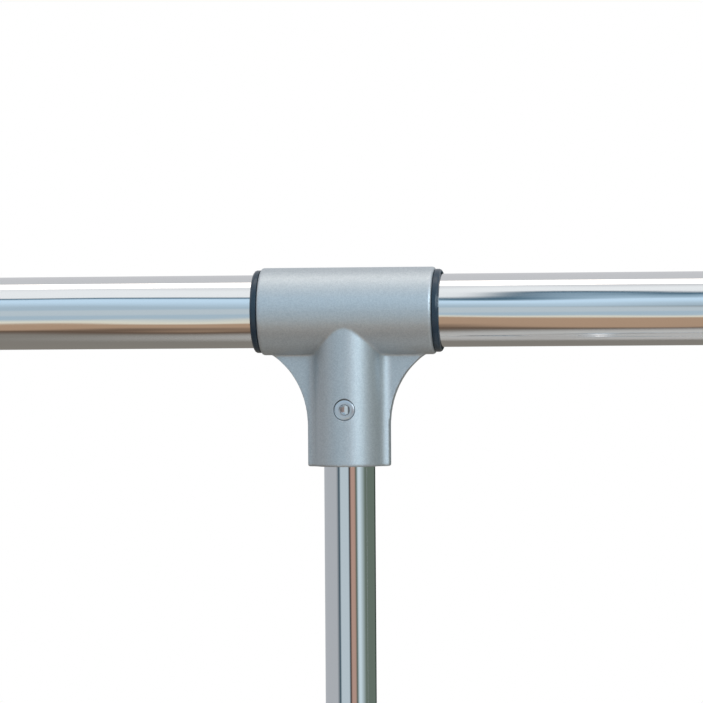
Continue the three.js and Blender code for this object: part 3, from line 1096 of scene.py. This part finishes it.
@dataclass
class Caster:
    """A swivel caster that trails to +X: stem, fork, wheel, axle and, on some, a brake, in mm."""

    wheel: float = 25.0
    half_width: float = 9.0
    trail: float = 18.0
    top: float = 57.5
    gauge: float = 2.6
    inner: float = 10.5
    outer: float = 12.6
    pedal_x: float = 34.0
    pedal_z: float = 50.0
    pedal_lean: float = 14.0
    gap: float = 0.3
    leg_round: float = 7.2
    ear_round: float = 4.4
    round_steps: int = 8
    stem_hole: float = 5.8
    axle_hole: float = 3.3
    pin_hole: float = 2.3
    drill_half: float = 20.0  # from the middle plane to each end of a cross hole's cutter
    boss_half: float = 10.1
    openings: int = 5
    opening: float = 2.9
    opening_ring: float = 12.0
    fork_grain: float = 0.42
    fork_smoothing: int = 4
    lever_ribs: tuple[float, ...] = (9, 13, 17)  # how far each stands from the pin
    pad_ribs: tuple[float, ...] = (21, 24.4)
    rib_edge: float = 0.4
    pedal_grain: float = 0.36
    pedal_smoothing: int = 3

    def stem_mesh(self) -> bpy.types.Mesh:
        """The stem with its raceway flange and riveted head.

        Returns:
            The stem along +Z, with z = 0 on the floor.
        """
        under, race = self.top - self.gauge - self.gap, self.top + self.gap
        return to_mesh(lathe([
            (0, 52.4), (6.8, 52.4), (8, 53.2), (8, under), (5.5, under), (5.5, race), (12.4, race),
            (14, race + 0.6), (14, race + 2), (13, race + 3), (5.5, race + 3), (5.5, 66), (5.1, 66.5),
            (5.1, 68), (5.5, 68.5), (5.5, 88.6), (4.4, 90), (0, 90)], SMALL, 0.1))

    def leg_outline(self) -> list[Point]:
        """The side view of one leg, rounded under the axle.

        Returns:
            Its outline as (x, z) points.
        """
        points, r = [], self.leg_round
        for i in range(self.round_steps + 1):
            angle = math.pi * (1 + i / self.round_steps)
            points.append((self.trail + r * math.cos(angle), self.wheel + r * math.sin(angle)))
        return points + [(self.trail + 6.4, 38), (21, self.top - 3), (20, self.top),
                         (-11, self.top), (-11, self.top - 6), (-8.5, self.top - 10), (8.4, 31)]

    def ear_outline(self) -> list[Point]:
        """The side view of the ear that holds the brake's pin.

        Returns:
            Its outline as (x, z) points.
        """
        points, r = [], self.ear_round
        for i in range(self.round_steps + 1):
            angle = math.radians(-80 + 160 * i / self.round_steps)
            points.append((self.pedal_x + r * math.cos(angle), self.pedal_z + r * math.sin(angle)))
        return points + [(18, self.top - 2), (20, 40)]

    def fork_mesh(self, braked: bool) -> bpy.types.Mesh:
        """Presses the fork from a crown, a bridge and two legs.

        Args:
            braked: whether it has ears for a brake.

        Returns:
            The fork about the swivel's axis, with z = 0 on the floor.
        """
        gauge = self.outer - self.inner
        low = self.top - self.gauge
        shells = [
            lathe([(0, low), (15, low), (15, self.top - 0.6), (14.4, self.top), (0, self.top)],
                  SMALL),
            block((28, 2 * self.outer, self.gauge), (4, 0, self.top - self.gauge / 2), 0.5),
        ]
        outlines = [self.leg_outline()] + ([self.ear_outline()] if braked else [])
        for sign in (-1, 1):
            middle = (0, sign * (self.inner + self.outer) / 2, 0)
            shells += [moved(slab(o, gauge, 0.3), Axis.Z.value, middle) for o in outlines]
        across = [(self.axle_hole, self.trail, self.wheel)]
        if braked:
            across.append((self.pin_hole, self.pedal_x, self.pedal_z))
        cutters = [solid_rod(self.stem_hole, low - OVERRUN, self.top + OVERRUN, SMALL)]
        for radius, x, z in across:
            drill = solid_rod(radius, -self.drill_half, self.drill_half, SMALL)
            cutters.append(moved(drill, Axis.Y.value, (x, 0, z)))
        return cast(shells, cutters, self.fork_grain, self.fork_smoothing)

    def tread_mesh(self) -> bpy.types.Mesh:
        """The soft tread, with two shallow grooves, along Y.

        Returns:
            The tread about the axle.
        """
        half, rim = self.half_width - 0.2, self.wheel
        grooves = []
        for middle in (-2.6, 2.6):
            grooves += [(rim, middle - 0.7), (rim - 0.7, middle - 0.3), (rim - 0.7, middle + 0.3),
                        (rim, middle + 0.7)]
        return to_mesh(moved(lathe([
            (20.6, -half + 0.6), (21.4, -half), (rim - 1.6, -half), (rim - 0.5, -half + 0.7),
            (rim, -half + 2), *grooves, (rim, half - 2), (rim - 0.5, half - 0.7),
            (rim - 1.6, half), (21.4, half), (20.6, half - 0.6), (20.6, -half + 0.6)], ROUND),
            Axis.Y.value))

    def hub_mesh(self) -> bpy.types.Mesh:
        """The moulded hub, with dished sides and a ring of openings, along Y.

        Returns:
            The hub about the axle.
        """
        half, boss, bored = self.half_width, self.boss_half, self.axle_hole
        side = [(6.5, boss), (6.5, 6.4), (7.6, 5.2), (16.2, 4.4), (17.4, 5.4), (18, half - 0.6),
                (18.6, half), (20.0, half), (20.7, half - 0.8)]
        lower = [(r, -z) for r, z in side]
        profile = [(bored, -boss), *lower, *reversed(side), (bored, boss), (bored, -boss)]
        hub = to_mesh(moved(lathe(profile, ROUND, 0.15), Axis.Y.value))
        holes, past = [], half + 3 * OVERRUN
        for i in range(self.openings):
            angle = math.tau * i / self.openings
            middle = (self.opening_ring * math.cos(angle), 0, self.opening_ring * math.sin(angle))
            holes.append(moved(solid_rod(self.opening, -past, past, SMALL), Axis.Y.value, middle))
        return combine(hub, holes)

    def axle_mesh(self) -> bpy.types.Mesh:
        """The axle, with a rounded rivet head at each end, along Y.

        Returns:
            The axle about its middle.
        """
        head = [(0, -15), (2.6, -15), (4.2, -14.4), (5, -13.5), (5, -12.9), (3, -12.9)]
        profile = head + [(r, -z) for r, z in reversed(head)]
        return to_mesh(moved(lathe(profile, SMALL), Axis.Y.value))

    def pedal_mesh(self) -> bpy.types.Mesh:
        """The brake pedal about its pin, with ribs across its pad.

        Returns:
            The pedal, with its pin through the origin along Y.
        """
        lean = turn(-self.pedal_lean, "Y")
        lever = block((24, 19.6, 3), (12, 0, 1), 0.8)
        pad = block((9, 25.6, 4), (23, 0, 1.5), 1.3)
        shells = [moved(solid_rod(4, -9.8, 9.8, SMALL, 0.6), Axis.Y.value),
                  moved(solid_rod(2, -13.6, 13.6, SMALL, 0.3), Axis.Y.value),
                  moved(lever, lean), moved(pad, lean)]
        for places, width, height in ((self.lever_ribs, 18, 2.7), (self.pad_ribs, 22, 3.5)):
            for x in places:
                rib = block((1.1, width, 1.5), (x, 0, height), self.rib_edge)
                shells.append(moved(rib, lean))
        return cast(shells, (), self.pedal_grain, self.pedal_smoothing)

    def build(self) -> None:
        """Builds the four casters, with brakes on the front pair."""
        stem, tread, hub, axle = (self.stem_mesh(), self.tread_mesh(), self.hub_mesh(),
                                  self.axle_mesh())
        forks = {End.front: self.fork_mesh(True), End.rear: self.fork_mesh(False)}
        pedal = self.pedal_mesh()
        for end in End:
            for side in Side:
                caster = f"{end.name}_{side.name}_caster"
                foot = centre_of(f"{caster}_stem")
                foot.z = 0
                axis = foot + Vector((self.trail, 0, self.wheel)) * MM
                install(f"{caster}_stem", "turning", stem, at(foot), ZINC)
                install(f"{caster}_fork", "pressing", forks[end], at(foot), ZINC)
                install(f"{caster}_wheel", "tread", tread, at(axis), TREAD_RUBBER)
                install(f"{caster}_wheel", "hub", hub, at(axis), HUB_PLASTIC)
                install(f"{caster}_axle", "rivet", axle, at(axis), ZINC)
                if end is End.front:
                    pin = foot + Vector((self.pedal_x, 0, self.pedal_z)) * MM
                    install(f"{end.name}_{side.name}_brake_pedal", "moulding", pedal, at(pin),
                            GRIP_PLASTIC)


# ---- studio ----
@dataclass(frozen=True)
class SoftBox:
    """A soft box: its width and height, where it hangs as seen from the rail, its glow and tint.

    Sizes and distance are in metres, and angles in degrees from the front and from level.
    """

    size: Point
    azimuth: float
    climb: float
    distance: float
    glow: float
    tint: str


@dataclass(frozen=True)
class Card:
    """A large coloured card or cloth for the chrome to mirror, from one angle to another in degrees."""

    start: float
    end: float
    tint: str


@dataclass
class Studio:
    """The camera, a pale floor, soft boxes and the cards round the rack, in metres and degrees."""

    azimuth: float = 7.7  # of the camera, from the front
    distance: float = 1.8
    lens: float = 212.0  # in mm, as is the sensor
    sensor: float = 36.0
    drop: float = 0.0176  # from the rail's axis down to the point that the camera aims at
    aside: float = 0.0011  # and from the tee's middle plane to the right of it
    roll: float = -0.38
    floor_radius: float = 1.0
    floor_solid: float = 0.5  # it fades out from here to its edge
    floor_drop: float = 0.0005
    floor_steps: int = 128
    floor_patch: float = 1 / 3
    floor_roughness: float = 0.7
    floor_tints: tuple[str, str] = ("#cdc7c0", "#d3cdc7")
    subject: str = "left_rail_tee"
    wave: float = 0.6  # how far the level bands wander, in radians
    wave_scale: tuple[float, float, float] = (14.0, 1.5, 1.5)
    lean: float = 0.5  # how far the upright bands lean, in radians
    walls_full: float = 0.08  # the height of a ray up to which it meets the walls
    walls_gone: float = 0.2  # and from which it meets only what is overhead or below
    softboxes: dict[str, SoftBox] = field(default_factory=lambda: {
        "long_softbox": SoftBox((3.6, 1.1), 0, 94, 2.8, 1.15, "#fff1e4"),
        "side_softbox": SoftBox((1.5, 1.4), 36, 26, 2.4, 5.2, "#dcecf6"),
    })
    # by climb: from the floor behind, under the rack, up the front and over the top to the back
    overhead: tuple[Card, ...] = (
        Card(-180, -78, "#87827b"),  # floor
        Card(-62, -60, "#67564a"),  # gap under the plinth
        Card(-50, -38, "#b4977f"),  # timber plinth
        Card(-32, -30, "#e6e2d2"),  # its white edge
        Card(-20, 5, "#aec2d0"),  # pale blue cloth
        Card(30, 38, "#cde7fb"),  # window
        Card(45, 46, "#3d6075"),  # gap over the window
        Card(52, 72, "#f6f8fa"),  # white panel
        Card(100, 180, "#d0d0d3"),  # grey ceiling
    )
    # by azimuth: from behind, round the left side to the front and on round the right side
    walls: tuple[Card, ...] = (
        Card(-180, -58, "#b5b8bd"),  # grey cloth
        Card(-44, -43, "#2f4a57"),  # gap
        Card(-36, -2, "#c0cdd5"),  # pale card
        Card(4, 5, "#26282a"),  # gap
        Card(12, 26, "#ba988a"),  # terracotta card
        Card(34, 35, "#59645a"),  # gap
        Card(44, 52, "#cfe0e8"),  # pale blue card
        Card(78, 145, "#69766c"),  # green cloth
        Card(160, 164, "#2b352f"),  # gap, which meets the grey cloth in an edge straight behind
    )

    def camera(self) -> None:
        """Aims the camera level at a rail joint."""
        data = bpy.data.cameras.new("camera")
        data.lens, data.sensor_width = self.lens, self.sensor
        camera = bpy.data.objects.new("camera", data)
        bpy.context.scene.collection.objects.link(camera)
        aim = centre_of(self.subject)
        aim.z = centre_of("hanging_rail").z - self.drop
        aim.x += self.aside
        a = math.radians(self.azimuth)
        back = Vector((math.sin(a), -math.cos(a), 0))
        place = at(aim + back * self.distance) @ turn(self.azimuth, "Z") @ turn(90, "X")
        camera.matrix_world = place @ turn(self.roll, "Z")
        bpy.context.scene.camera = camera

    def floor(self) -> None:
        """Lays a plain round floor under the casters, which fades out towards its edge."""
        material, tree, out = new_material("floor_vinyl")
        place = add_node(tree, "ShaderNodeTexCoord").outputs["Object"]
        cloud = add_node(tree, "ShaderNodeTexNoise", Vector=place, Scale=1 / self.floor_patch,
                         Detail=2.0)
        dark, light = (colour(tint) for tint in self.floor_tints)
        tone = add_node(tree, "ShaderNodeMix", {"data_type": "RGBA"}, in_0=cloud.outputs["Fac"],
                        in_6=dark, in_7=light)
        shader = add_node(tree, "ShaderNodeBsdfPrincipled", Base_Color=tone.outputs[2],
                          Roughness=self.floor_roughness)
        reach = add_node(tree, "ShaderNodeVectorMath", {"operation": "LENGTH"}, Vector=place)
        fade = add_node(tree, "ShaderNodeMapRange", {"interpolation_type": "SMOOTHSTEP"},
                        Value=reach.outputs["Value"], From_Min=self.floor_solid,
                        From_Max=self.floor_radius)
        clear = add_node(tree, "ShaderNodeBsdfTransparent")
        mixed = add_node(tree, "ShaderNodeMixShader", in_0=fade.outputs[0], in_1=shader.outputs[0],
                         in_2=clear.outputs[0])
        tree.links.new(mixed.outputs[0], out.inputs["Surface"])
        bm = bmesh.new()
        bmesh.ops.create_circle(bm, cap_ends=True, segments=self.floor_steps,
                                radius=self.floor_radius)
        bmesh.ops.translate(bm, verts=bm.verts, vec=(0, 0, -self.floor_drop))
        mesh = to_mesh(bm)
        mesh.materials.append(material)
        obj = bpy.data.objects.new("floor", mesh)
        bpy.context.scene.collection.objects.link(obj)
        obj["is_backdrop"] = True

    def ramp(self, tree: bpy.types.NodeTree, angle: bpy.types.NodeSocket,
             cards: Sequence[Card]) -> bpy.types.NodeSocket:
        """Turns an angle into the tint of the card there, with soft edges between two cards.

        Args:
            tree: the world's node tree.
            angle: the angle in radians, from -pi to pi.
            cards: the cards in order, with angles in degrees from -180 to 180.

        Returns:
            The colour's socket.
        """
        share = add_node(tree, "ShaderNodeMapRange", Value=angle, From_Min=-math.pi,
                         From_Max=math.pi)
        ramp = add_node(tree, "ShaderNodeValToRGB", Fac=share.outputs[0])
        stops = ramp.color_ramp.elements
        stops.remove(stops[-1])
        stops[0].position, stops[0].color = 0, colour(cards[0].tint)
        for card in cards:
            for degrees in (card.start, card.end):
                stops.new(degrees / 360 + 0.5).color = colour(card.tint)
        return ramp.outputs[0]

    def softbox(self, name: str, box: SoftBox) -> None:
        """Hangs a soft box that faces the rail's middle.

        Args:
            name: its name.
            box: its size, place and light.
        """
        data = bpy.data.lights.new(name, "AREA")
        data.shape = "RECTANGLE"
        data.size, data.size_y = box.size
        data.energy = math.pi * data.size * data.size_y * box.glow
        data.color = colour(box.tint)[:3]
        lamp = bpy.data.objects.new(name, data)
        bpy.context.scene.collection.objects.link(lamp)
        aim = Vector((0, 0, centre_of("hanging_rail").z))
        facing = turn(box.azimuth, "Z") @ turn(90 - box.climb, "X")
        lamp.matrix_world = at(aim) @ facing @ at(Vector((0, 0, box.distance)))

    def world(self) -> None:
        """Puts the cards round the rack for its chrome to mirror, and plain white for the camera."""
        world = bpy.data.worlds.new("studio")
        bpy.context.scene.world = world
        world.use_nodes = True
        tree = world.node_tree
        tree.nodes.clear()
        direction = add_node(tree, "ShaderNodeTexCoord").outputs["Generated"]
        parts = add_node(tree, "ShaderNodeSeparateXYZ", Vector=direction)
        ahead = add_node(tree, "ShaderNodeMath", {"operation": "MULTIPLY"}, in_0=parts.outputs[1],
                         in_1=-1.0).outputs[0]
        climb = add_node(tree, "ShaderNodeMath", {"operation": "ARCTAN2"}, in_0=parts.outputs[2],
                         in_1=ahead)
        spread = add_node(tree, "ShaderNodeMapping", Vector=direction, Scale=self.wave_scale)
        waves = add_node(tree, "ShaderNodeTexNoise", Vector=spread.outputs[0], Scale=1.0, Detail=1.0)
        shift = add_node(tree, "ShaderNodeMapRange", Value=waves.outputs["Fac"],
                         To_Min=-self.wave, To_Max=self.wave)
        wavy = add_node(tree, "ShaderNodeMath", in_0=climb.outputs[0], in_1=shift.outputs[0])
        around = add_node(tree, "ShaderNodeMath", {"operation": "ARCTAN2"}, in_0=parts.outputs[0],
                          in_1=ahead)
        leaning = add_node(tree, "ShaderNodeMath", {"operation": "MULTIPLY_ADD"},
                           in_0=parts.outputs[2], in_1=self.lean, in_2=around.outputs[0])
        height = add_node(tree, "ShaderNodeMath", {"operation": "ABSOLUTE"}, in_0=parts.outputs[2])
        level = add_node(tree, "ShaderNodeMapRange", {"interpolation_type": "SMOOTHSTEP"},
                         Value=height.outputs[0], From_Min=self.walls_full,
                         From_Max=self.walls_gone, To_Min=1.0, To_Max=0.0)
        tint = add_node(tree, "ShaderNodeMix", {"data_type": "RGBA"}, in_0=level.outputs[0],
                        in_6=self.ramp(tree, wavy.outputs[0], self.overhead),
                        in_7=self.ramp(tree, leaning.outputs[0], self.walls))
        path = add_node(tree, "ShaderNodeLightPath")
        light = add_node(tree, "ShaderNodeBackground", Color=tint.outputs[2], Strength=1.0)
        paper = add_node(tree, "ShaderNodeBackground", Color=(1, 1, 1, 1), Strength=1.0)
        mixed = add_node(tree, "ShaderNodeMixShader", in_0=path.outputs["Is Camera Ray"],
                         in_1=light.outputs[0], in_2=paper.outputs[0])
        out = add_node(tree, "ShaderNodeOutputWorld")
        tree.links.new(mixed.outputs[0], out.inputs["Surface"])

    def build(self) -> None:
        """Sets up camera, floor and light, and plain colour without a film look."""
        bpy.context.scene.view_settings.view_transform = "Standard"
        self.camera()
        self.floor()
        for name, box in self.softboxes.items():
            self.softbox(name, box)
        self.world()


def main() -> None:
    """Builds the rack and its studio."""
    logging.basicConfig(level=logging.INFO, format="%(name)s: %(message)s")
    for part in (Studio(), Tubing(), RailJoint(), FootJoint(), Telescopes(), BaseCorner(), Caster()):
        log.info("building %s", type(part).__name__)
        part.build()


if __name__ == "__main__":
    main()
    boxes = {"cad": CAD_BOX, "visual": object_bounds()}
    {name: [list(corner) for corner in box] for name, box in boxes.items()}
